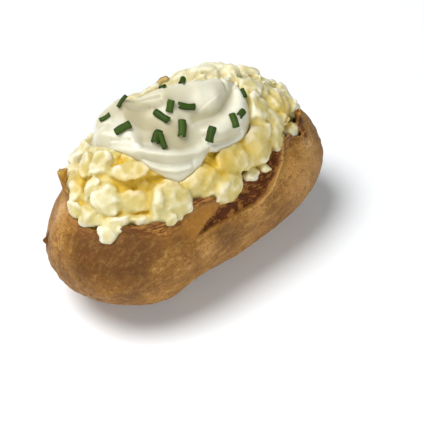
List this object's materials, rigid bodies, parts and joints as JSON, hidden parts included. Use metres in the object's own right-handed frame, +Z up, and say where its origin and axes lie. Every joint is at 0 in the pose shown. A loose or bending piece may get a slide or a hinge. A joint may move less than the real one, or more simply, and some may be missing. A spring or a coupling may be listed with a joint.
{
  "type": "baked potato",
  "caption": "Large baked potato split along its top, with fluffed flesh heaped out of the torn jacket, a dollop of sour cream and snips of chive.",
  "frame": {"origin": "centre of the bounding box at the table", "axes": "+Z up, +X along the potato towards its rounder end, -Y towards the side with the torn skin"},
  "size_m": [0.1272, 0.0696, 0.0812],
  "materials": {
    "jacket": "baked potato skin, dry and wrinkled, mid brown with tan mottling",
    "flesh": "fluffed baked potato flesh, moist, pale yellow with golden crevices",
    "sour_cream": "thick sour cream, warm white, softly glossy",
    "chive": "fresh chive snips, mid to dark green"
  },
  "bodies": {
    "root": {"jacket": "jacket", "flesh": "flesh", "sour_cream": "sour_cream"}
  },
  "joints": []
}
